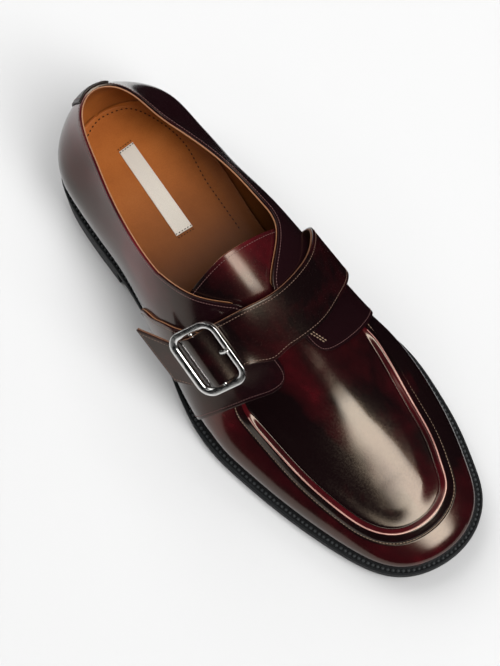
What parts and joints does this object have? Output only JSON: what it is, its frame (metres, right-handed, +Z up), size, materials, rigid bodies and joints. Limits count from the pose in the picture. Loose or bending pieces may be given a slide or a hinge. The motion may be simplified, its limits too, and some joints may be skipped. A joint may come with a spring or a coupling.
{
  "type": "loafer",
  "caption": "Monk-strap loafer with a raised apron seam, a buckled strap over the instep, a welted sole and a low heel.",
  "frame": {"origin": "middle of the shoe's box in plan, on the floor that the sole stands on", "axes": "+Y from heel to toe, +X to the outer side of the foot, +Z up"},
  "size_m": [0.1148, 0.3046, 0.101],
  "materials": {
    "burgundy_leather": "polished, shaded to black",
    "black_leather": "polished",
    "tan_leather": "matt lining leather",
    "sole_edge": "satin edge ink",
    "heel_rubber": "matt",
    "nickel": "bright nickel plate"
  },
  "bodies": {
    "root": {"outsole": "sole_edge", "heel_stack": "sole_edge", "heel_top_lift": "heel_rubber", "insole": "tan_leather", "welt": "sole_edge", "upper": "burgundy_leather", "tongue": "burgundy_leather", "buckle_tab": "burgundy_leather", "strap": "burgundy_leather", "backstay": "black_leather", "buckle": "nickel", "buckle_prong": "nickel"}
  },
  "joints": []
}
